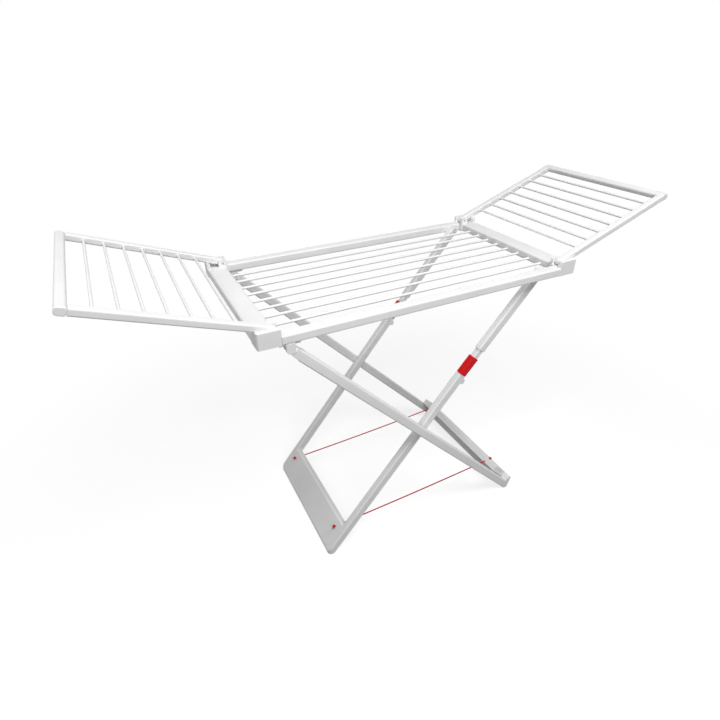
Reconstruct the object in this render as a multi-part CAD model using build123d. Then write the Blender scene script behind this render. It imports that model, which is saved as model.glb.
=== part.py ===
from build123d import *
import math
import os

# A folding clothes drying rack with two wings, in millimetres.
# X runs along the length, Y from front to back, Z up from the floor.

# Deck
DECK_HALF_LENGTH = 513.5
DECK_HALF_WIDTH = 275.0
RAIL_BOTTOM = 895.0
RAIL_HEIGHT = 26.0
RAIL_WIDTH = 33.0
RAIL_ROUND = 5.0
RAIL_TONGUE = 16.0
RAIL_TONGUE_INSET = 5.0
CAP_LENGTH = 63.5
CAP_WIDTH = 47.0
CAP_RISE = 21.0
CAP_OUTER_WALL = 12.4
CAP_INNER_WALL = 9.4
CAP_EAR_REACH = 12.0
CAP_ROUND = 4.0
END_BAR_WIDTH = 57.5
END_BAR_HEIGHT = 28.0
END_BAR_ROUND = 6.0
ROD_COUNT = 8
ROD_EDGE_GAP = 60.0
ROD_RADIUS = 4.0
ROD_LIFT = 10.0
ROD_SINK = 12.0

# Wings
WING_TILT = 19.9
WING_PIVOT_INSET = 48.5
WING_MIDDLE_GAP = 17.0
WING_BAR_THICKNESS = 20.0
WING_OUTER_CLEARANCE = 1.0
WING_INNER_CLEARANCE = 1.6
WING_FLOOR_CLEARANCE = 1.6
WING_END_BAR_WIDTH = 24.0
WING_BAR_ROUND = 7.0
WING_SIDE_ROUND = 5.0
WING_END_ROUND = 2.5
WING_TIP_FLAT = 0.1
WING_ROD_COUNT = 7
WING_ROD_FIRST = 84.0
WING_ROD_LAST_GAP = 43.6
WING_ROD_RADIUS = 3.8
WING_ROD_SINK = 9.0
WING_PIN_RADIUS = 4.0
WING_PIN_SKIN = 4.0
PIN_END_GAP = 1.0
STOP_GAP = 0.3
STOP_LENGTH = 10.0

# Legs
PIVOT_A_INSET = 83.5
CROSS_X = 4.0
CROSS_Z = 427.0
LEG_A_DEPTH = 29.0
LEG_A_WIDTH = 28.0
LEG_B_ANGLE = 50.5
LEG_B_DEPTH = 29.0
LEG_B_WIDTH = 24.5
LEG_B_GAP = 1.5
LEG_ROUND = 5.0
PIN_RADIUS = 4.0
PIN_CLEARANCE = 0.05
PIN_SKIN = 3.0
SPACER_RADIUS = 10.0
CROSS_GAP = 0.4

# Left leg brackets
BRACKET_THICKNESS = 6.0
BRACKET_HALF_LENGTH = 28.0
BRACKET_INNER_MARGIN = 1.0
BRACKET_OUTER_MARGIN = 6.0
CHEEK_RADIUS = 12.0
CHEEK_THICKNESS = 7.5
CHEEK_GAP = 0.3
EAR_RADIUS = 11.5
EAR_GAP = 0.5
EAR_SPARE = 2.0
TAPER_LENGTH = 12.0
FORK_SPARE = 4.0

# Knee and arms
PIVOT_ARM_INSET = 100.5
KNEE_OFFSET = 15.0
LUG_RADIUS = 9.5
LEG_B_TOP = 17.0
KNEE_TONGUE_HALF = 4.6
KNEE_SLOT_CLEARANCE = 0.4
KNEE_SLOT_SPARE = 3.5
KNEE_SLOT_TOP_GAP = 1.0
TONGUE_LENGTH_SHARE = 0.6
TONGUE_DEPTH_SHARE = 0.7
TONGUE_LOW_INSET = 1.0
TONGUE_HIGH_INSET = 4.0
NECK_SIZE = 20.0
NECK_ROUND = 3.0
NECK_GAP = 0.52
SLEEVE_GAP = 1.02
SLEEVE_LENGTH = 68.0
SLEEVE_CLEARANCE = 0.3
SLEEVE_TRAVEL = 30.0
COLLAR_LENGTH = 14.0
ARM_INSET = 0.3
ARM_EYE_RADIUS = 13.0
FLANGE_RADIUS = 12.5
FLANGE_CLEARANCE = 0.4
PIN_HEAD_RADIUS = 7.0
PIN_HEAD_THICKNESS = 2.6
PIN_HEAD_GAP = 0.3
PIN_SINK = 15.0

# Feet
PLATE_B_LENGTH = 115.0
PLATE_B_LOW = 0.5
FOOT_CUT_HEIGHT = 17.0
BAR_A_LENGTH = 113.0
BAR_A_GAP = 1.5
BAR_A_THICKNESS = 22.0
BAR_A_TOP_LENGTH = 27.0
BAR_A_LIP_RUN = 8.0
BAR_A_LIP_LENGTH = 23.0
BAR_A_FLAT_TOP = -4.0
FOOT_ROUND = 3.0
CORD_INSET = 23.0
CORD_PLATE_Z = 75.0
CORD_BAR_Z = 95.0
CORD_RADIUS = 2.2
CORD_HOLE_CLEARANCE = 0.8
KNOT_RADIUS = 6.5
KNOT_LIFT = 2.0
KNOT_GAP = 0.3

# How far a cutting tool runs past the face it cuts, and a length beyond the whole rack
OVERRUN = 1.0
BEYOND = 4000.0

SIDES = ((-1, "front"), (1, "back"))

# Places that follow from the sizes above
rail_top = RAIL_BOTTOM + RAIL_HEIGHT
rail_inner = DECK_HALF_WIDTH - RAIL_WIDTH
cap_start = DECK_HALF_LENGTH - CAP_LENGTH
cap_inner = DECK_HALF_WIDTH - CAP_WIDTH
cap_ear = cap_inner + CAP_INNER_WALL
cap_wall = DECK_HALF_WIDTH - CAP_OUTER_WALL
cap_top = rail_top + CAP_RISE
bar_start = DECK_HALF_LENGTH - END_BAR_WIDTH
rod_height = RAIL_BOTTOM + ROD_LIFT
wing_half = WING_BAR_THICKNESS / 2
wing_pivot_x = DECK_HALF_LENGTH - WING_PIVOT_INSET
wing_pivot_z = rail_top + WING_FLOOR_CLEARANCE + wing_half
wing_outer = cap_wall - WING_OUTER_CLEARANCE
wing_inner = cap_ear + WING_INNER_CLEARANCE
wing_length = wing_pivot_x - WING_MIDDLE_GAP
wing_bar_start = wing_length - WING_END_BAR_WIDTH
leg_a_outer = DECK_HALF_WIDTH
leg_a_inner = leg_a_outer - LEG_A_WIDTH
leg_b_outer = rail_inner - LEG_B_GAP
leg_b_inner = leg_b_outer - LEG_B_WIDTH
leg_b_middle = (leg_b_outer + leg_b_inner) / 2
pivot_a_x = PIVOT_A_INSET - DECK_HALF_LENGTH
pivot_a_z = RAIL_BOTTOM - BRACKET_THICKNESS - EAR_GAP - EAR_RADIUS
pivot_arm_x = DECK_HALF_LENGTH - PIVOT_ARM_INSET
pivot_arm_z = pivot_a_z + 2 * KNEE_OFFSET
bar_low = LEG_B_DEPTH / 2 + BAR_A_GAP
bar_top = bar_low + BAR_A_THICKNESS
cord_y = leg_b_inner - CORD_INSET

os.makedirs("parts", exist_ok=True)


def save(name, shape):
    shape.label = name
    export_step(shape, "parts/" + name + ".step")


def block(x0, x1, y0, y1, z0, z1):
    low_y, high_y = min(y0, y1), max(y0, y1)
    size = (x1 - x0, high_y - low_y, z1 - z0)
    centre = ((x0 + x1) / 2, (low_y + high_y) / 2, (z0 + z1) / 2)
    return Pos(*centre) * Box(*size)


def rod_x(radius, x0, x1, y, z):
    return Pos((x0 + x1) / 2, y, z) * Rot(0, 90, 0) * Cylinder(radius, x1 - x0)


def rod_y(radius, x, y0, y1, z):
    length = abs(y1 - y0)
    return Pos(x, (y0 + y1) / 2, z) * Rot(90, 0, 0) * Cylinder(radius, length)


def round_along(shape, axis, radius):
    return fillet(shape.edges().filter_by(axis), radius)


def profile(points, y0, y1):
    """A closed outline in the XZ plane, thickened from y0 to y1."""
    low_y, high_y = min(y0, y1), max(y0, y1)
    face = make_face(Polyline(*[(x, low_y, z) for x, z in points], close=True))
    return extrude(face, amount=high_y - low_y, dir=(0, 1, 0))


def mirror_x(shape):
    return mirror(shape, about=Plane.YZ)


# Deck rods, evenly spread between the rails
rod_reach = rail_inner - ROD_EDGE_GAP
rod_spacing = 2 * rod_reach / (ROD_COUNT - 1)
rod_row = [index * rod_spacing - rod_reach for index in range(ROD_COUNT)]
rod_end = bar_start + ROD_SINK
for index, y in enumerate(rod_row):
    save("deck_rod_%d" % (index + 1), rod_x(ROD_RADIUS, -rod_end, rod_end, y, rod_height))

# End bars with blind holes for the rods
end_bar = block(bar_start, DECK_HALF_LENGTH, -cap_inner, cap_inner,
                RAIL_BOTTOM, RAIL_BOTTOM + END_BAR_HEIGHT)
end_bar = round_along(end_bar, Axis.Y, END_BAR_ROUND)
for y in rod_row:
    end_bar -= rod_x(ROD_RADIUS, bar_start - OVERRUN, rod_end, y, rod_height)
save("end_bar_right", end_bar)
save("end_bar_left", mirror_x(end_bar))

# Corner caps: a body with a trough for the wing's side bar, two pivot walls and a tilt stop
tilt = math.radians(WING_TILT)


def wing_underside(x):
    """Height of the side bar's lower face above the floor at x, on the right side."""
    rise = (x - wing_pivot_x) * math.tan(tilt)
    return wing_pivot_z + rise - wing_half / math.cos(tilt)


def corner_cap(side):
    inner, outer = side * cap_inner, side * DECK_HALF_WIDTH
    cap = block(cap_start, DECK_HALF_LENGTH, inner, outer, RAIL_BOTTOM, cap_top)
    cap = fillet(cap.edges().filter_by(Axis.Y).group_by(Axis.Z)[-1], CAP_ROUND)
    upright = cap.edges().filter_by(Axis.Z).sort_by(lambda e: e.center().X + side * e.center().Y)
    cap = fillet(upright[-1], CAP_ROUND)
    cap -= block(cap_start - OVERRUN, DECK_HALF_LENGTH + OVERRUN, side * cap_ear, side * cap_wall,
                 rail_top, cap_top + OVERRUN)
    cap -= block(wing_pivot_x + CAP_EAR_REACH, DECK_HALF_LENGTH + OVERRUN, inner - side * OVERRUN,
                 side * cap_ear, rail_top, cap_top + OVERRUN)
    stop_start = DECK_HALF_LENGTH - STOP_LENGTH
    cap += profile([(stop_start, rail_top), (DECK_HALF_LENGTH, rail_top),
                    (DECK_HALF_LENGTH, wing_underside(DECK_HALF_LENGTH) - STOP_GAP),
                    (stop_start, wing_underside(stop_start) - STOP_GAP)],
                   inner, side * cap_wall)
    cap -= rod_y(WING_PIN_RADIUS + PIN_CLEARANCE, wing_pivot_x, side * (cap_inner - OVERRUN),
                 side * (DECK_HALF_WIDTH - WING_PIN_SKIN), wing_pivot_z)
    inset = RAIL_TONGUE_INSET
    cap -= block(cap_start - OVERRUN, cap_start + RAIL_TONGUE, side * (rail_inner + inset),
                 side * (DECK_HALF_WIDTH - inset), RAIL_BOTTOM + inset, rail_top - inset)
    return cap


for side, depth_name in SIDES:
    cap = corner_cap(side)
    save("corner_cap_%s_right" % depth_name, cap)
    save("corner_cap_%s_left" % depth_name, mirror_x(cap))

# Side rails with a tongue at each end
for side, depth_name in SIDES:
    outer, inner = side * DECK_HALF_WIDTH, side * rail_inner
    rail = block(-cap_start, cap_start, inner, outer, RAIL_BOTTOM, rail_top)
    rail = round_along(rail, Axis.X, RAIL_ROUND)
    inset = RAIL_TONGUE_INSET
    tongue_end = cap_start + RAIL_TONGUE
    rail += block(-tongue_end, tongue_end, inner + side * inset, outer - side * inset,
                  RAIL_BOTTOM + inset, rail_top - inset)
    rail -= rod_y(PIN_RADIUS, pivot_arm_x, inner - side * OVERRUN, inner + side * PIN_SINK, pivot_arm_z)
    save("rail_%s" % depth_name, rail)

# Hinge brackets of the wide leg frame, under the rails at the left end, each with two cheeks
for side, depth_name in SIDES:
    inner, outer = side * leg_a_inner, side * leg_a_outer
    bracket = block(pivot_a_x - BRACKET_HALF_LENGTH, pivot_a_x + BRACKET_HALF_LENGTH,
                    inner + side * BRACKET_INNER_MARGIN, outer - side * BRACKET_OUTER_MARGIN,
                    RAIL_BOTTOM - BRACKET_THICKNESS, RAIL_BOTTOM)
    for near, far in ((inner, inner + side * CHEEK_THICKNESS), (outer - side * CHEEK_THICKNESS, outer)):
        bracket += block(pivot_a_x - CHEEK_RADIUS, pivot_a_x + CHEEK_RADIUS, near, far,
                         pivot_a_z, RAIL_BOTTOM)
        bracket += rod_y(CHEEK_RADIUS, pivot_a_x, near, far, pivot_a_z)
    bracket -= rod_y(PIN_RADIUS, pivot_a_x, inner - side * OVERRUN, outer - side * PIN_SKIN, pivot_a_z)
    save("leg_bracket_%s" % depth_name, bracket)

pins = [rod_y(PIN_RADIUS, pivot_a_x, side * leg_a_inner, side * (leg_a_outer - PIN_SKIN), pivot_a_z)
        for side, depth_name in SIDES]
save("leg_bracket_pins", Compound(children=pins))

# Flanges and pins of the arm pivots, on the inner faces of the rails at the right end
flange_face = leg_b_outer + FLANGE_CLEARANCE
head_face = leg_b_inner - PIN_HEAD_GAP
arm_pins = []
for side, depth_name in SIDES:
    flange = rod_y(FLANGE_RADIUS, pivot_arm_x, side * flange_face, side * rail_inner, pivot_arm_z)
    flange -= rod_y(PIN_RADIUS, pivot_arm_x, side * (flange_face - OVERRUN),
                    side * (rail_inner + OVERRUN), pivot_arm_z)
    save("arm_flange_%s" % depth_name, flange)
    pin = rod_y(PIN_RADIUS, pivot_arm_x, side * head_face, side * (rail_inner + PIN_SINK), pivot_arm_z)
    pin += rod_y(PIN_HEAD_RADIUS, pivot_arm_x, side * (head_face - PIN_HEAD_THICKNESS),
                 side * head_face, pivot_arm_z)
    arm_pins.append(pin)
save("arm_pins", Compound(children=arm_pins))

# Wings, drawn flat about the pivot and then tilted up to the open position
wing_place = Pos(wing_pivot_x, 0, wing_pivot_z) * Rot(0, -WING_TILT, 0)
wing_rod_run = wing_bar_start - WING_ROD_LAST_GAP - WING_ROD_FIRST
wing_rod_spacing = wing_rod_run / (WING_ROD_COUNT - 1)
wing_rods = [WING_ROD_FIRST + wing_rod_spacing * index for index in range(WING_ROD_COUNT)]


def save_wing(name, shape):
    placed = wing_place * shape
    save("right_wing_" + name, placed)
    save("left_wing_" + name, mirror_x(placed))


outer_bar = block(wing_bar_start, wing_length, -wing_outer, wing_outer, -wing_half, wing_half)
outer_bar = round_along(outer_bar, Axis.Y, WING_BAR_ROUND)
outer_bar = fillet(outer_bar.faces().sort_by(Axis.Y)[0].edges() +
                   outer_bar.faces().sort_by(Axis.Y)[-1].edges(), WING_END_ROUND)
save_wing("outer_bar", outer_bar)

for side, depth_name in SIDES:
    bar = block(-wing_half, wing_bar_start, side * wing_inner, side * wing_outer, -wing_half, wing_half)
    bar = fillet(bar.edges().filter_by(Axis.Y).group_by(Axis.X)[0], wing_half - WING_TIP_FLAT)
    bar = round_along(bar, Axis.X, WING_SIDE_ROUND)
    bar -= outer_bar
    bar -= rod_y(WING_PIN_RADIUS, 0, side * (wing_inner - OVERRUN), side * (wing_outer + OVERRUN), 0)
    for place in wing_rods:
        bar -= rod_y(WING_ROD_RADIUS, place, side * (wing_inner - OVERRUN),
                     side * (wing_inner + WING_ROD_SINK), 0)
    save_wing("side_bar_%s" % depth_name, bar)

rod_half = wing_inner + WING_ROD_SINK
for index, place in enumerate(wing_rods):
    save_wing("rod_%d" % (index + 1), rod_y(WING_ROD_RADIUS, place, -rod_half, rod_half, 0))

wing_pin_end = DECK_HALF_WIDTH - WING_PIN_SKIN - PIN_END_GAP
wing_pins = [rod_y(WING_PIN_RADIUS, 0, side * (cap_inner + PIN_END_GAP), side * wing_pin_end, 0)
             for side, depth_name in SIDES]
save_wing("pivot_pins", Compound(children=wing_pins))

# Line of the wide legs, from their hinge through the crossing point
reach = math.hypot(CROSS_X - pivot_a_x, pivot_a_z - CROSS_Z)
leg_a_angle = math.degrees(math.atan2(pivot_a_z - CROSS_Z, CROSS_X - pivot_a_x))
a_along = (math.cos(math.radians(leg_a_angle)), math.sin(math.radians(leg_a_angle)))

# Where the knee must sit so that every link lies flat when the legs are folded: the knee then
# lies one offset above the wide legs' axis, and the arms' axis one more offset above the knee
b_along = (math.cos(math.radians(LEG_B_ANGLE)), math.sin(math.radians(LEG_B_ANGLE)))
flat_reach = pivot_arm_x - (pivot_a_x + reach)
to_pivot_x = pivot_arm_x - CROSS_X - KNEE_OFFSET * b_along[1]
to_pivot_z = pivot_arm_z - CROSS_Z + KNEE_OFFSET * b_along[0]
rest_square = to_pivot_x ** 2 + to_pivot_z ** 2 - flat_reach ** 2 - KNEE_OFFSET ** 2
knee_along = rest_square / (2 * (to_pivot_x * b_along[0] + to_pivot_z * b_along[1] + flat_reach))
arm_length = flat_reach + knee_along
knee_x = CROSS_X + knee_along * b_along[0] + KNEE_OFFSET * b_along[1]
knee_z = CROSS_Z + knee_along * b_along[1] - KNEE_OFFSET * b_along[0]
line_angle = math.degrees(math.atan2(pivot_arm_z - knee_z, pivot_arm_x - knee_x))
arm_angle = line_angle - math.degrees(math.atan2(KNEE_OFFSET, arm_length))
print("knee", round(knee_x, 3), round(knee_z, 3), "arm angle", round(arm_angle, 4))
print("wide leg angle", round(leg_a_angle, 4), "knee turn", round(arm_angle + 180 - LEG_B_ANGLE, 4))

# Where the cords leave the outer faces of the two feet, and the line between
leg_low, leg_high = KNEE_OFFSET - LEG_B_DEPTH / 2, KNEE_OFFSET + LEG_B_DEPTH / 2


def plate_face(height):
    """Place along X of the foot plate's outer face at a height above the floor."""
    return knee_x - (knee_z - height) * b_along[0] / b_along[1] - leg_high / b_along[1]


plate_x = plate_face(CORD_PLATE_Z)
bar_x = CROSS_X + (CROSS_Z - CORD_BAR_Z) * a_along[0] / a_along[1] + bar_top / a_along[1]
cord_rise = math.degrees(math.atan2(CORD_BAR_Z - CORD_PLATE_Z, bar_x - plate_x))
cord_length = math.hypot(CORD_BAR_Z - CORD_PLATE_Z, bar_x - plate_x)


def cord_rod(radius, y, spare):
    """A rod along a cord's line, longer than the line by a spare length at each end."""
    middle = Pos((plate_x + bar_x) / 2, y, (CORD_PLATE_Z + CORD_BAR_Z) / 2)
    return middle * Rot(0, 90 - cord_rise, 0) * Cylinder(radius, cord_length + 2 * spare)


# Wide leg frame, drawn along its length from the crossing point and then tilted
a_place = Pos(CROSS_X, 0, CROSS_Z) * Rot(0, leg_a_angle, 0)
half_a = LEG_A_DEPTH / 2


def floor_reach(offset):
    """Distance from the crossing point to the floor at an offset across the leg."""
    return (CROSS_Z + a_along[0] * offset) / a_along[1]


foot_a = floor_reach(0)
corner_a = foot_a - BAR_A_TOP_LENGTH - BAR_A_LIP_RUN
lip_a = foot_a - BAR_A_LIP_LENGTH
heel_a = floor_reach(-half_a)
bar_outline = [(foot_a - BAR_A_LENGTH, bar_low), (foot_a - BAR_A_LENGTH, bar_top),
               (foot_a - BAR_A_TOP_LENGTH, bar_top), (floor_reach(BAR_A_FLAT_TOP), BAR_A_FLAT_TOP),
               (heel_a, -half_a), (lip_a, -half_a), (corner_a, bar_low)]
lip_outline = [(corner_a, bar_low), (corner_a, bar_top)] + bar_outline[2:6]
foot_bar = profile(bar_outline, -leg_a_inner, leg_a_inner)
foot_bar += profile(lip_outline, -leg_a_outer, leg_a_outer)
foot_bar = fillet(foot_bar.edges().filter_by(Axis.Y).group_by(Axis.Z)[-1], FOOT_ROUND)

# The cords' holes through the foot bar
foot_bar_placed = a_place * foot_bar
for side, depth_name in SIDES:
    foot_bar_placed -= cord_rod(CORD_RADIUS + CORD_HOLE_CLEARANCE, side * cord_y, BAR_A_LENGTH)
save("wide_frame_foot_bar", foot_bar_placed)

ear_end = -reach + BRACKET_HALF_LENGTH + EAR_SPARE
body_start = ear_end + TAPER_LENGTH
leg_a_end = (lip_a + heel_a) / 2
cross_pins = []
for side, depth_name in SIDES:
    inner, outer = side * leg_a_inner, side * leg_a_outer
    leg = profile([(-reach, -EAR_RADIUS), (ear_end, -EAR_RADIUS), (body_start, -half_a),
                   (leg_a_end, -half_a), (leg_a_end, half_a), (body_start, half_a),
                   (ear_end, EAR_RADIUS), (-reach, EAR_RADIUS)], inner, outer)
    long_edges = leg.edges().filter_by(Axis.X).filter_by(lambda e: e.length > reach)
    leg = fillet(long_edges, LEG_ROUND)
    leg += rod_y(EAR_RADIUS, -reach, inner, outer, 0)
    cheek_room = side * (CHEEK_THICKNESS + CHEEK_GAP)
    for near, far in ((inner - side * OVERRUN, inner + cheek_room),
                      (outer - cheek_room, outer + side * OVERRUN)):
        leg -= block(-reach - 2 * EAR_RADIUS, -reach + CHEEK_RADIUS + FORK_SPARE, near, far,
                     -LEG_A_DEPTH, LEG_A_DEPTH)
    leg -= rod_y(PIN_RADIUS + PIN_CLEARANCE, -reach, inner - side * OVERRUN, outer + side * OVERRUN, 0)
    leg -= foot_bar
    leg -= rod_y(PIN_RADIUS, 0, inner - side * OVERRUN, outer - side * PIN_SKIN, 0)
    save("wide_frame_leg_%s" % depth_name, a_place * leg)
    spacer_face = side * (leg_b_outer + CROSS_GAP)
    pin = rod_y(PIN_RADIUS, 0, inner, outer - side * PIN_SKIN, 0)
    pin += rod_y(SPACER_RADIUS, 0, spacer_face, inner, 0)
    cross_pins.append(a_place * pin)
save("wide_frame_cross_pins", Compound(children=cross_pins))

# Narrow leg frame, drawn along its length from the knee and then tilted
b_place = Pos(knee_x, 0, knee_z) * Rot(0, -LEG_B_ANGLE, 0)
foot_b = -(knee_along + CROSS_Z / b_along[1])
foot_end = foot_b - LEG_B_DEPTH
foot_space = block(plate_face(FOOT_CUT_HEIGHT), BEYOND, -BEYOND, BEYOND, 0, BEYOND)
slot_half = KNEE_TONGUE_HALF + KNEE_SLOT_CLEARANCE
neck_low, neck_high = KNEE_OFFSET - NECK_SIZE / 2, KNEE_OFFSET + NECK_SIZE / 2
slot_top = neck_high - TONGUE_HIGH_INSET + KNEE_SLOT_TOP_GAP
knee_pins = []
for side, depth_name in SIDES:
    inner, outer, middle = side * leg_b_inner, side * leg_b_outer, side * leg_b_middle
    leg = block(foot_end, LEG_B_TOP, inner, outer, leg_low, leg_high)
    leg = round_along(leg, Axis.X, LEG_ROUND)
    leg += rod_y(LUG_RADIUS, 0, inner, outer, 0)
    leg -= block(-LUG_RADIUS - KNEE_SLOT_SPARE, LEG_B_TOP + OVERRUN, middle - slot_half,
                 middle + slot_half, -2 * LUG_RADIUS, slot_top)
    leg -= rod_y(PIN_RADIUS, 0, inner - side * OVERRUN, outer - side * PIN_SKIN, 0)
    save("narrow_frame_leg_%s" % depth_name, (b_place * leg) & foot_space)
    knee_pins.append(b_place * rod_y(PIN_RADIUS, 0, inner, outer - side * PIN_SKIN, 0))
save("narrow_frame_knee_pins", Compound(children=knee_pins))

plate = block(foot_end, foot_b + PLATE_B_LENGTH, -leg_b_inner, leg_b_inner,
              KNEE_OFFSET + PLATE_B_LOW, leg_high)
plate = fillet(plate.edges().filter_by(Axis.Y).group_by(Axis.X)[-1], FOOT_ROUND)
plate = (b_place * plate) & foot_space
for side, depth_name in SIDES:
    plate -= cord_rod(CORD_RADIUS, side * cord_y, PLATE_B_LENGTH)
save("narrow_frame_foot_plate", plate)

# Arms with a neck, a collar and a tongue that reaches the knee
arm_place = Pos(knee_x, 0, knee_z) * Rot(0, -arm_angle, 0)
bend = math.radians(LEG_B_ANGLE - arm_angle)
leg_top = LEG_B_TOP * math.cos(bend) - min(leg_low * math.sin(bend), leg_high * math.sin(bend))
neck_start = leg_top + NECK_GAP
sleeve_start = leg_top + SLEEVE_GAP
sleeve_end = sleeve_start + SLEEVE_LENGTH
collar_start = sleeve_end + SLEEVE_TRAVEL
arm_half = LEG_B_WIDTH / 2 - ARM_INSET
for side, depth_name in SIDES:
    inner, outer, middle = side * leg_b_inner, side * leg_b_outer, side * leg_b_middle
    low, high = middle - arm_half, middle + arm_half
    arm = block(collar_start, arm_length, low, high, leg_low + ARM_INSET, leg_high - ARM_INSET)
    arm = round_along(arm, Axis.X, LEG_ROUND)
    collar = block(collar_start, collar_start + COLLAR_LENGTH, inner, outer, leg_low, leg_high)
    arm += round_along(collar, Axis.X, LEG_ROUND)
    arm += rod_y(ARM_EYE_RADIUS, arm_length, low, high, KNEE_OFFSET)
    neck = block(neck_start, collar_start, middle - NECK_SIZE / 2, middle + NECK_SIZE / 2,
                 neck_low, neck_high)
    arm += round_along(neck, Axis.X, NECK_ROUND)
    tongue_long, tongue_deep = LUG_RADIUS * TONGUE_LENGTH_SHARE, LUG_RADIUS * TONGUE_DEPTH_SHARE
    tongue = profile([(-tongue_long, tongue_deep), (0, -LUG_RADIUS), (tongue_long, -tongue_deep),
                      (neck_start, neck_low + TONGUE_LOW_INSET),
                      (neck_start, neck_high - TONGUE_HIGH_INSET)],
                     middle - KNEE_TONGUE_HALF, middle + KNEE_TONGUE_HALF)
    tongue += rod_y(LUG_RADIUS, 0, middle - KNEE_TONGUE_HALF, middle + KNEE_TONGUE_HALF, 0)
    arm += tongue
    for along, across in ((0, 0), (arm_length, KNEE_OFFSET)):
        arm -= rod_y(PIN_RADIUS + PIN_CLEARANCE, along, inner - side * OVERRUN,
                     outer + side * OVERRUN, across)
    save("arm_%s" % depth_name, arm_place * arm)
    sleeve = block(sleeve_start, sleeve_end, inner, outer, leg_low, leg_high)
    sleeve = round_along(sleeve, Axis.X, LEG_ROUND)
    hole = NECK_SIZE / 2 + SLEEVE_CLEARANCE
    bore = block(sleeve_start - OVERRUN, sleeve_end + OVERRUN, middle - hole, middle + hole,
                 KNEE_OFFSET - hole, KNEE_OFFSET + hole)
    sleeve -= round_along(bore, Axis.X, NECK_ROUND)
    save("lock_sleeve_%s" % depth_name, arm_place * sleeve)

# Cords between the two feet, each with a knot outside each foot
plate_side = b_place * block(-BEYOND, BEYOND, -BEYOND, BEYOND, -BEYOND, leg_high)
bar_side = a_place * block(-BEYOND, BEYOND, -BEYOND, BEYOND, -BEYOND, bar_top + KNOT_GAP)
for side, depth_name in SIDES:
    y = side * cord_y
    cord = cord_rod(CORD_RADIUS, y, KNOT_LIFT)
    cord += Pos(plate_x - KNOT_LIFT, y, CORD_PLATE_Z) * Sphere(KNOT_RADIUS) - plate_side
    cord += Pos(bar_x + KNOT_LIFT, y, CORD_BAR_Z) * Sphere(KNOT_RADIUS) - bar_side
    save("cord_%s" % depth_name, cord)
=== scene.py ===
import math

import bmesh
import bpy
from mathutils import Matrix, Vector


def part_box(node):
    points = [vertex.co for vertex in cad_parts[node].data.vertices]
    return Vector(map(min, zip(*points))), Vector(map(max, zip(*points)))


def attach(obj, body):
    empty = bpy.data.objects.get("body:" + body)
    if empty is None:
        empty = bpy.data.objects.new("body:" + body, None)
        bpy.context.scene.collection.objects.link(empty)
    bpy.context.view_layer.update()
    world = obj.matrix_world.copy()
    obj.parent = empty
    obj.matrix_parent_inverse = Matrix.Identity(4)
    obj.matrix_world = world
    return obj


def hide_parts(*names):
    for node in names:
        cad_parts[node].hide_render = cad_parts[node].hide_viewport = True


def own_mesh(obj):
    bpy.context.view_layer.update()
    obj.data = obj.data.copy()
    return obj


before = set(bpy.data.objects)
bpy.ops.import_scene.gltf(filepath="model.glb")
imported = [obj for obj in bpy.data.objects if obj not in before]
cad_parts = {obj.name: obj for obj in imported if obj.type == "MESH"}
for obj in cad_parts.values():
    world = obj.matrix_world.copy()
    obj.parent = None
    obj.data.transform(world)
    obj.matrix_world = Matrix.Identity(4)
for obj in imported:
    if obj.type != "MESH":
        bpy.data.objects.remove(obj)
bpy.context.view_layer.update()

# Camera of the photograph
CAMERA_PLACE = (-0.75164, -1.28084, 1.50792)
CAMERA_YAW = 26.82
CAMERA_PITCH = 32.34
CAMERA_ROLL = -0.49
CAMERA_LENS = 24.983
CAMERA_SENSOR = 36.0

# Lights: the strength of the surrounding light, and each lamp's place, aim, size along and across,
# and power
AMBIENT = 0.15
LAMPS = {
    "top_front": ((0.2, -1.3, 2.8), (0.0, 0.0, 0.6), 1.6, 1.0, 42.0),
    "left_front": ((-0.9, -2.6, 1.8), (0.0, 0.0, 0.6), 1.4, 1.0, 15.0),
    "left_high": ((-1.6, 0.0, 2.7), (0.0, 0.0, 0.4), 1.4, 1.4, 15.5),
}

# Floor: its size, its drop below the feet, its grey to scattered light, and how it shows near the
# object and far away
FLOOR_SIZE = 60.0
FLOOR_DROP = 0.0004
FLOOR_BOUNCE = 0.22
FLOOR_COLOUR = 0.45
FLOOR_GLOW = 0.72
FLOOR_NEAR = 0.7
FLOOR_FAR = 1.9
FAR_GLOW = 1.0
WHITE_LIGHT = (1.0, 1.0, 1.0, 1.0)

# Cords: the route's points along X and Z, the distance from the middle, and the braid
CORD_ROUTE = [(-0.3070, 0.0750), (-0.1345, 0.0770), (0.0360, 0.0810), (0.2065, 0.0870), (0.3790, 0.0950)]
CORD_SIDE = 0.193
CORD_DIAMETER = 0.0044
CORD_STEPS = 180
CORD_ORDER = 3
CORD_FACETS = 24
BRAID_STRANDS = 4
BRAID_DEPTH = 0.10
BRAID_PITCH = 0.0075

# Knots: how wide the loops lie, how far they rise, the pressed cord's radius, and the loose end
KNOT_LOOP = 0.00150
KNOT_RISE = 0.00175
KNOT_CORD_RADIUS = 0.00195
KNOT_STEPS = 120
KNOT_LIFT = 0.0036
TAIL_LENGTH = 0.0085
TAIL_RISE = 0.45
TAIL_STEPS = 12

# Outward directions of the foot plate's and the foot bar's outer faces
PLATE_NORMAL = Vector((-0.7716, 0.0, 0.6361))
BAR_NORMAL = Vector((0.7198, 0.0, 0.6942))

# Foot plate: the height of its upright lower edge, its thickness, its lip and its rounded edges,
# and how far it reaches into the legs, just below their faces
PLATE_CUT = 0.017
PLATE_THICKNESS = 0.014
LIP_DEPTH = 0.026
LIP_THICKNESS = 0.004
LIP_ROUND = 0.006
LIP_STEPS = 6
PLATE_EDGE = 0.0012
PLATE_REACH = 0.006
PLATE_DROP = 0.0002

# Rounded toes of the narrow legs
TOE_ROUND = 0.014
TOE_STEPS = 8
TOE_CUT = 0.000001

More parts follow.
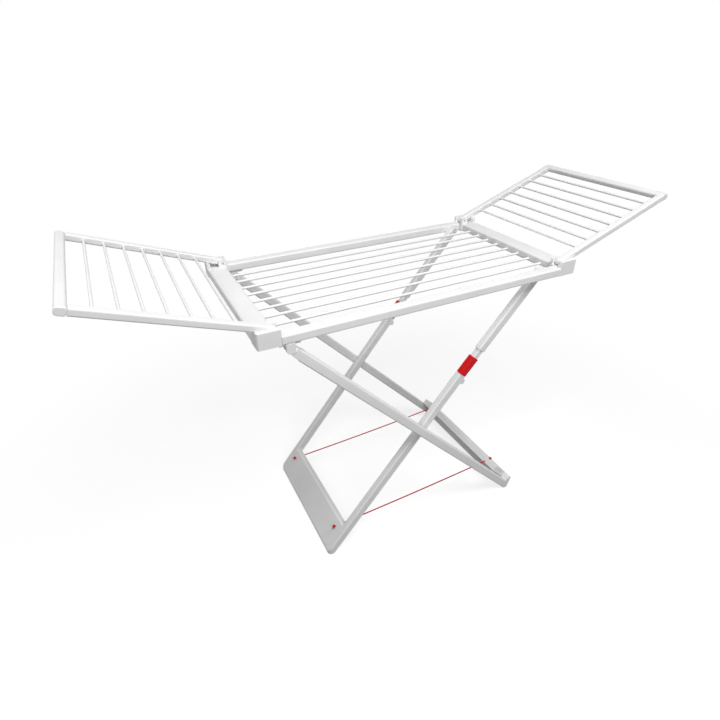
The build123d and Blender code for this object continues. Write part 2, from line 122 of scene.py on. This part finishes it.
# Rounded outer upright edges of the corner caps
CAP_ROUND = 0.009

# Softened edges of the mouldings: which edges count, how they are cleaned and rounded, and the widths
EDGE_SHARP = math.radians(24)
EDGE_FLAT = math.radians(0.4)
EDGE_MERGE = 0.00002
EDGE_SEGMENTS = 3
EDGE_PROFILE = 0.5
CAP_EDGE = 0.0009
BRACKET_EDGE = 0.0009
SLEEVE_EDGE = 0.0009
LEG_EDGE = 0.0008
ARM_EDGE = 0.0008
BAR_EDGE = 0.0014

# Finishes: the two colours that each fades between, and its two roughnesses
WHITE_COLOURS = ((0.86, 0.86, 0.865), (0.91, 0.91, 0.91))
WHITE_ROUGH = (0.30, 0.42)
ROD_COLOURS = ((0.87, 0.87, 0.875), (0.91, 0.91, 0.91))
ROD_ROUGH = (0.22, 0.32)
RED_COLOURS = ((0.70, 0.005, 0.009), (0.78, 0.007, 0.013))
RED_ROUGH = (0.20, 0.28)
CORD_COLOURS = ((0.60, 0.010, 0.03), (0.72, 0.02, 0.05))
CORD_ROUGH = (0.55, 0.7)
STEEL_COLOURS = ((0.55, 0.55, 0.56), (0.66, 0.66, 0.67))
STEEL_ROUGH = (0.25, 0.4)

# Gloss of the plastics, with less for the two reds
PLASTIC_GLOSS = 0.5
RED_GLOSS = 0.12

# Grain of the finishes: the cloudiness and skin of the plastics, the lines of the steel, their relief,
# and the part of each noise's range that is used
CLOUD_SCALE = 9.0
CLOUD_DETAIL = 3.0
SKIN_SCALE = 700.0
CORD_SKIN_SCALE = 2500.0
SKIN_RELIEF = 0.03
LINE_SCALE = 300.0
LINE_STRETCH = (1.0, 12.0, 1.0)
LINE_RELIEF = 0.05
RELIEF_DEPTH = 0.0001
FINE_DETAIL = 2.0
NO_STRETCH = (1.0, 1.0, 1.0)
NOISE_RANGE = (0.3, 0.7)


def new_material(name):
    """A node material, with its shader, its coordinates and its links to add to."""
    material = bpy.data.materials.new(name)
    material.use_nodes = True
    nodes = material.node_tree.nodes
    shader = nodes["Principled BSDF"]
    coordinates = nodes.new("ShaderNodeTexCoord")
    return material, nodes, material.node_tree.links, shader, coordinates


def noise(nodes, links, coordinates, scale, detail=FINE_DETAIL, stretch=NO_STRETCH):
    """Noise in the piece's own metres, with a stretch along each axis."""
    mapping = nodes.new("ShaderNodeMapping")
    mapping.inputs["Scale"].default_value = stretch
    links.new(coordinates.outputs["Object"], mapping.inputs["Vector"])
    texture = nodes.new("ShaderNodeTexNoise")
    texture.inputs["Scale"].default_value = scale
    texture.inputs["Detail"].default_value = detail
    links.new(mapping.outputs["Vector"], texture.inputs["Vector"])
    return texture.outputs["Fac"]


def vary(nodes, links, source, values, target):
    """Spreads a noise between two values and feeds it to a socket."""
    spread = nodes.new("ShaderNodeMapRange")
    for end, noise_value, value in zip(("Min", "Max"), NOISE_RANGE, values):
        spread.inputs["From " + end].default_value = noise_value
        spread.inputs["To " + end].default_value = value
    links.new(source, spread.inputs["Value"])
    links.new(spread.outputs["Result"], target)


def tint(nodes, links, source, colours, target):
    """Fades between two colours by a noise."""
    ramp = nodes.new("ShaderNodeValToRGB")
    for element, noise_value, colour in zip(ramp.color_ramp.elements, NOISE_RANGE, colours):
        element.position = noise_value
        element.color = (*colour, 1.0)
    links.new(source, ramp.inputs["Fac"])
    links.new(ramp.outputs["Color"], target)


def roughen(nodes, links, source, strength, shader):
    """Fine surface relief from a noise."""
    bump = nodes.new("ShaderNodeBump")
    bump.inputs["Strength"].default_value = strength
    bump.inputs["Distance"].default_value = RELIEF_DEPTH
    links.new(source, bump.inputs["Height"])
    links.new(bump.outputs["Normal"], shader.inputs["Normal"])


def moulded(name, colours, rough, skin_scale=SKIN_SCALE, gloss=PLASTIC_GLOSS):
    """Moulded plastic: a slight cloudiness, a fine skin and a roughness that varies."""
    material, nodes, links, shader, coordinates = new_material(name)
    cloud = noise(nodes, links, coordinates, CLOUD_SCALE, CLOUD_DETAIL)
    skin = noise(nodes, links, coordinates, skin_scale)
    tint(nodes, links, cloud, colours, shader.inputs["Base Color"])
    vary(nodes, links, cloud, rough, shader.inputs["Roughness"])
    roughen(nodes, links, skin, SKIN_RELIEF, shader)
    shader.inputs["Specular IOR Level"].default_value = gloss
    return material


def brushed_steel(name):
    """Plain steel with fine lines around the pins."""
    material, nodes, links, shader, coordinates = new_material(name)
    lines = noise(nodes, links, coordinates, LINE_SCALE, stretch=LINE_STRETCH)
    tint(nodes, links, lines, STEEL_COLOURS, shader.inputs["Base Color"])
    vary(nodes, links, lines, STEEL_ROUGH, shader.inputs["Roughness"])
    roughen(nodes, links, lines, LINE_RELIEF, shader)
    shader.inputs["Metallic"].default_value = 1.0
    return material


white = moulded("white_moulding", WHITE_COLOURS, WHITE_ROUGH)
rod_white = moulded("white_rod_coat", ROD_COLOURS, ROD_ROUGH)
red = moulded("red_moulding", RED_COLOURS, RED_ROUGH, gloss=RED_GLOSS)
cord_red = moulded("red_braid", CORD_COLOURS, CORD_ROUGH, CORD_SKIN_SCALE, RED_GLOSS)
steel = brushed_steel("pin_steel")


def paint(piece, material):
    """Gives a piece one material in all its slots."""
    if not piece.material_slots:
        piece.data.materials.append(material)
    for slot in piece.material_slots:
        slot.material = material


for name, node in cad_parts.items():
    if "_rod_" in name:
        paint(node, rod_white)
    elif name.endswith("_pins"):
        paint(node, steel)
    else:
        paint(node, white)


def add_piece(name, mesh, body, material):
    """A new mesh piece that rides on a body and has a finish."""
    piece = bpy.data.objects.new(name, mesh)
    bpy.context.scene.collection.objects.link(piece)
    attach(piece, body)
    paint(piece, material)
    return piece


def rounded(shape, node_name, body, width, material):
    """A piece in a node's place, from a shape whose sharp edges are rounded over."""
    bmesh.ops.recalc_face_normals(shape, faces=shape.faces[:])
    sharp = [edge for edge in shape.edges
             if edge.is_manifold and edge.calc_face_angle() > EDGE_SHARP]
    bmesh.ops.bevel(shape, geom=sharp, offset=width, segments=EDGE_SEGMENTS, profile=EDGE_PROFILE,
                    affect="EDGES", clamp_overlap=True)
    for face in shape.faces:
        face.smooth = True
    mesh = bpy.data.meshes.new(node_name + "_soft")
    shape.to_mesh(mesh)
    shape.free()
    piece = add_piece(node_name + "_soft", mesh, body, material)
    weighted = piece.modifiers.new("normals", "WEIGHTED_NORMAL")
    weighted.keep_sharp = True
    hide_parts(node_name)


def round_toe(shape, node_name):
    """Draws in a leg's outer side along an arc at its toe, so that the corner is round in plan."""
    low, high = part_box(node_name)
    toe = low[0]
    inner, outer = sorted((abs(low[1]), abs(high[1])))
    for step in range(1, TOE_STEPS + 1):
        turn = math.pi / 2 * step / TOE_STEPS
        place = (toe + TOE_ROUND * (1 - math.cos(turn)), 0.0, 0.0)
        everything = shape.verts[:] + shape.edges[:] + shape.faces[:]
        bmesh.ops.bisect_plane(shape, geom=everything, dist=TOE_CUT, plane_co=place, plane_no=(1, 0, 0))
    for vertex in shape.verts:
        reach = TOE_ROUND - (vertex.co.x - toe)
        if reach > 0:
            drawn = TOE_ROUND - math.sqrt(max(TOE_ROUND ** 2 - reach ** 2, 0.0))
            share = (abs(vertex.co.y) - inner) / (outer - inner)
            vertex.co.y -= math.copysign(drawn * share, vertex.co.y)


def round_cap(shape, node_name):
    """Draws in the upright edge of a corner cap that lies farthest out, to a wider round."""
    far_x, far_y = (max(pair, key=abs) for pair in list(zip(*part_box(node_name)))[:2])
    start = Vector((abs(far_x) - CAP_ROUND, abs(far_y) - CAP_ROUND))
    for vertex in shape.verts:
        past = Vector((abs(vertex.co.x), abs(vertex.co.y))) - start
        if min(past) > 0 and past.length > CAP_ROUND:
            place = start + past * (CAP_ROUND / past.length)
            vertex.co.x = math.copysign(place.x, far_x)
            vertex.co.y = math.copysign(place.y, far_y)


def softened(node_name, body, width, material=white, shaped=None):
    """A copy of a node's shape with rounded edges, in the node's place, shaped further if asked."""
    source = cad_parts[node_name].data
    shape = bmesh.new()
    points = [shape.verts.new(vertex.co) for vertex in source.vertices]
    for polygon in source.polygons:
        shape.faces.new([points[index] for index in polygon.vertices])
    bmesh.ops.remove_doubles(shape, verts=shape.verts[:], dist=EDGE_MERGE)
    bmesh.ops.dissolve_limit(shape, angle_limit=EDGE_FLAT, verts=shape.verts[:], edges=shape.edges[:])
    if shaped:
        shaped(shape, node_name)
    rounded(shape, node_name, body, width, material)


def foot_plate(node_name):
    """The foot plate's outline with the deep lip along its upper end, from one leg to the other."""
    low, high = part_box(node_name)
    along = Vector((PLATE_NORMAL.z, 0.0, -PLATE_NORMAL.x))
    face_foot = Vector((low[0] + PLATE_DROP, 0.0, PLATE_CUT))
    rise = (high[2] - PLATE_CUT) / along.z
    face_top = face_foot + along * rise
    back_top = face_top - PLATE_NORMAL * PLATE_THICKNESS
    back_foot = back_top - along * (back_top.z / along.z)
    outline = [Vector((face_foot.x, 0.0, 0.0)), face_foot]
    middle = face_top - (PLATE_NORMAL + along) * LIP_ROUND
    for step in range(LIP_STEPS + 1):
        turn = math.pi / 2 * step / LIP_STEPS
        outline.append(middle + (PLATE_NORMAL * math.cos(turn) + along * math.sin(turn)) * LIP_ROUND)
    outline += [face_top - PLATE_NORMAL * LIP_DEPTH,
                face_top - PLATE_NORMAL * LIP_DEPTH - along * LIP_THICKNESS,
                back_top - along * LIP_THICKNESS, back_foot]
    shape = bmesh.new()
    ends = []
    for y in (low[1] - PLATE_REACH, high[1] + PLATE_REACH):
        ends.append([shape.verts.new((point.x, y, point.z)) for point in outline])
    shape.faces.new(ends[0])
    shape.faces.new(list(reversed(ends[1])))
    for index in range(len(outline)):
        beyond = (index + 1) % len(outline)
        shape.faces.new((ends[0][index], ends[1][index], ends[1][beyond], ends[0][beyond]))
    rounded(shape, node_name, "narrow_frame", PLATE_EDGE, white)


for depth in ("front", "back"):
    for side in ("left", "right"):
        softened("corner_cap_%s_%s" % (depth, side), "deck", CAP_EDGE, shaped=round_cap)
    softened("leg_bracket_" + depth, "deck", BRACKET_EDGE)
    softened("wide_frame_leg_" + depth, "wide_frame", LEG_EDGE)
    softened("narrow_frame_leg_" + depth, "narrow_frame", LEG_EDGE, shaped=round_toe)
    softened("arm_" + depth, "arm_" + depth, ARM_EDGE)
    softened("lock_sleeve_" + depth, "sleeve_" + depth, SLEEVE_EDGE, red)
softened("wide_frame_foot_bar", "wide_frame", BAR_EDGE)
foot_plate("narrow_frame_foot_plate")


def smooth_line(points):
    """Points read from a smooth spline with these control points."""
    curve = bpy.data.curves.new("route", "CURVE")
    curve.dimensions = "3D"
    curve.resolution_u = CORD_STEPS
    spline = curve.splines.new("NURBS")
    spline.points.add(len(points) - 1)
    for target, point in zip(spline.points, points):
        target.co = (*point, 1.0)
    spline.order_u = CORD_ORDER
    spline.use_endpoint_u = True
    holder = bpy.data.objects.new("route", curve)
    bpy.context.scene.collection.objects.link(holder)
    line = bpy.data.meshes.new_from_object(holder)
    found = [vertex.co.copy() for vertex in line.vertices]
    bpy.data.objects.remove(holder)
    bpy.data.meshes.remove(line)
    bpy.data.curves.remove(curve)
    return found


def tube(line, radius_at, facets, closed=False):
    """A tube mesh along a line, with a radius for each share of a turn and distance along it."""
    shape = bmesh.new()
    count = len(line)
    across = Vector((0.0, 1.0, 0.0))
    rings, travelled = [], 0.0
    for index, point in enumerate(line):
        before = line[index - 1] if index or closed else point
        after = line[(index + 1) % count] if index + 1 < count or closed else point
        along = (after - before).normalized()
        across = (across - along * across.dot(along)).normalized()
        upward = along.cross(across)
        if index:
            travelled += (point - line[index - 1]).length
        ring = []
        for facet in range(facets):
            turn = 2 * math.pi * facet / facets
            radius = radius_at(turn, travelled)
            offset = across * math.cos(turn) + upward * math.sin(turn)
            ring.append(shape.verts.new(point + offset * radius))
        rings.append(ring)
    for index in range(count if closed else count - 1):
        ring, following = rings[index], rings[(index + 1) % count]
        for facet in range(facets):
            beyond = (facet + 1) % facets
            shape.faces.new((ring[facet], ring[beyond], following[beyond], following[facet]))
    if not closed:
        shape.faces.new(list(reversed(rings[0])))
        shape.faces.new(rings[-1])
    bmesh.ops.recalc_face_normals(shape, faces=shape.faces[:])
    for face in shape.faces:
        face.smooth = True
    mesh = bpy.data.meshes.new("tube")
    shape.to_mesh(mesh)
    shape.free()
    return mesh


def braid(radius):
    """Radius of a braided cord: strands that cross both ways round it."""
    def radius_at(turn, travelled):
        lay = 2 * math.pi * travelled / BRAID_PITCH
        weave = math.cos(BRAID_STRANDS * turn + lay) * math.cos(BRAID_STRANDS * turn - lay)
        return radius * (1.0 + BRAID_DEPTH * weave / 2)
    return radius_at


def knot(name, place, normal, body):
    """An overhand knot drawn tight against a foot, with a short loose end."""
    aside = Vector((0.0, 1.0, 0.0))
    upward = normal.cross(aside)
    centre = place + normal * KNOT_LIFT
    loops = []
    for step in range(KNOT_STEPS):
        turn = 2 * math.pi * step / KNOT_STEPS
        flat_a = KNOT_LOOP * (math.sin(turn) + 2 * math.sin(2 * turn))
        flat_b = KNOT_LOOP * (math.cos(turn) - 2 * math.cos(2 * turn))
        rise = -KNOT_RISE * math.sin(3 * turn)
        loops.append(centre + aside * flat_a + upward * flat_b + normal * rise)
    lean = (aside * math.copysign(1.0, place.y) + upward + normal * TAIL_RISE).normalized()
    tail = [centre + lean * (TAIL_LENGTH * step / TAIL_STEPS) for step in range(TAIL_STEPS + 1)]
    weave = braid(KNOT_CORD_RADIUS)
    return [add_piece(name, tube(loops, weave, CORD_FACETS, True), body, cord_red),
            add_piece(name + "_end", tube(tail, weave, CORD_FACETS), body, cord_red)]


for sign, depth in ((-1, "front"), (1, "back")):
    route = [(x, sign * CORD_SIDE, z) for x, z in CORD_ROUTE]
    line = smooth_line(route)
    mesh = tube(line, braid(CORD_DIAMETER / 2), CORD_FACETS)
    cord = add_piece("cord_%s_braid" % depth, mesh, "narrow_frame", cord_red)
    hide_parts("cord_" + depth)
    plate_knot = knot("cord_%s_plate_knot" % depth, Vector(route[0]), PLATE_NORMAL, "narrow_frame")
    bar_knot = knot("cord_%s_bar_knot" % depth, Vector(route[-1]), BAR_NORMAL, "wide_frame")
    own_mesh(cord)


def split_rays(nodes, links, direct, scattered, output):
    """Shows one shader to the camera, mirrors and glass, and lights the rest with another."""
    seen = nodes.new("ShaderNodeLightPath")
    share = seen.outputs["Is Camera Ray"]
    for kind in ("Is Glossy Ray", "Is Transmission Ray"):
        larger = nodes.new("ShaderNodeMath")
        larger.operation = "MAXIMUM"
        links.new(share, larger.inputs[0])
        links.new(seen.outputs[kind], larger.inputs[1])
        share = larger.outputs["Value"]
    choose = nodes.new("ShaderNodeMixShader")
    links.new(share, choose.inputs["Fac"])
    links.new(scattered, choose.inputs[1])
    links.new(direct, choose.inputs[2])
    links.new(choose.outputs["Shader"], output.inputs["Surface"])


# Floor, which keeps a soft shadow under the object and fades to white around it
bpy.ops.mesh.primitive_plane_add(size=FLOOR_SIZE, location=(0, 0, -FLOOR_DROP))
floor = bpy.context.object
floor.name = "floor"
material = bpy.data.materials.new("floor")
material.use_nodes = True
nodes, links = material.node_tree.nodes, material.node_tree.links
nodes.remove(nodes["Principled BSDF"])
lit = nodes.new("ShaderNodeBsdfDiffuse")
lit.inputs["Color"].default_value = (FLOOR_COLOUR, FLOOR_COLOUR, FLOOR_COLOUR, 1.0)
glow = nodes.new("ShaderNodeEmission")
glow.inputs["Strength"].default_value = FLOOR_GLOW
near = nodes.new("ShaderNodeAddShader")
links.new(lit.outputs["BSDF"], near.inputs[0])
links.new(glow.outputs["Emission"], near.inputs[1])
far = nodes.new("ShaderNodeEmission")
far.inputs["Strength"].default_value = FAR_GLOW
coordinates = nodes.new("ShaderNodeTexCoord")
distance = nodes.new("ShaderNodeVectorMath")
distance.operation = "LENGTH"
links.new(coordinates.outputs["Object"], distance.inputs[0])
fade = nodes.new("ShaderNodeMapRange")
fade.interpolation_type = "SMOOTHSTEP"
fade.inputs["From Min"].default_value = FLOOR_NEAR
fade.inputs["From Max"].default_value = FLOOR_FAR
links.new(distance.outputs["Value"], fade.inputs["Value"])
shown = nodes.new("ShaderNodeMixShader")
links.new(fade.outputs["Result"], shown.inputs["Fac"])
links.new(near.outputs["Shader"], shown.inputs[1])
links.new(far.outputs["Emission"], shown.inputs[2])
dull = nodes.new("ShaderNodeBsdfDiffuse")
dull.inputs["Color"].default_value = (FLOOR_BOUNCE, FLOOR_BOUNCE, FLOOR_BOUNCE, 1.0)
split_rays(nodes, links, shown.outputs["Shader"], dull.outputs["BSDF"], nodes["Material Output"])
material.cycles.emission_sampling = "NONE"
floor.data.materials.append(material)

# World: white where it is seen directly, and a soft grey light for the rest
world = bpy.data.worlds.new("studio")
bpy.context.scene.world = world
world.use_nodes = True
nodes, links = world.node_tree.nodes, world.node_tree.links
backdrop = nodes["Background"]
backdrop.inputs["Color"].default_value = WHITE_LIGHT
soft = nodes.new("ShaderNodeBackground")
soft.inputs["Color"].default_value = WHITE_LIGHT
soft.inputs["Strength"].default_value = AMBIENT
split_rays(nodes, links, backdrop.outputs["Background"], soft.outputs["Background"], nodes["World Output"])

# Lamps
for name, (place, aim, length, width, power) in LAMPS.items():
    data = bpy.data.lights.new(name, "AREA")
    data.shape = "RECTANGLE"
    data.size, data.size_y = length, width
    data.energy = power
    lamp = bpy.data.objects.new(name, data)
    bpy.context.scene.collection.objects.link(lamp)
    lamp.location = place
    lamp.rotation_euler = (Vector(aim) - Vector(place)).to_track_quat("-Z", "Y").to_euler()

# Camera
camera_data = bpy.data.cameras.new("camera")
camera_data.sensor_width = CAMERA_SENSOR
camera_data.lens = CAMERA_LENS
camera = bpy.data.objects.new("camera", camera_data)
bpy.context.scene.collection.objects.link(camera)
turn = Matrix.Rotation(math.radians(-CAMERA_YAW), 4, "Z")
dip = Matrix.Rotation(math.radians(90 - CAMERA_PITCH), 4, "X")
roll = Matrix.Rotation(math.radians(CAMERA_ROLL), 4, "Z")
camera.matrix_world = Matrix.Translation(CAMERA_PLACE) @ turn @ dip @ roll
bpy.context.scene.camera = camera
bpy.context.scene.view_settings.view_transform = "Standard"
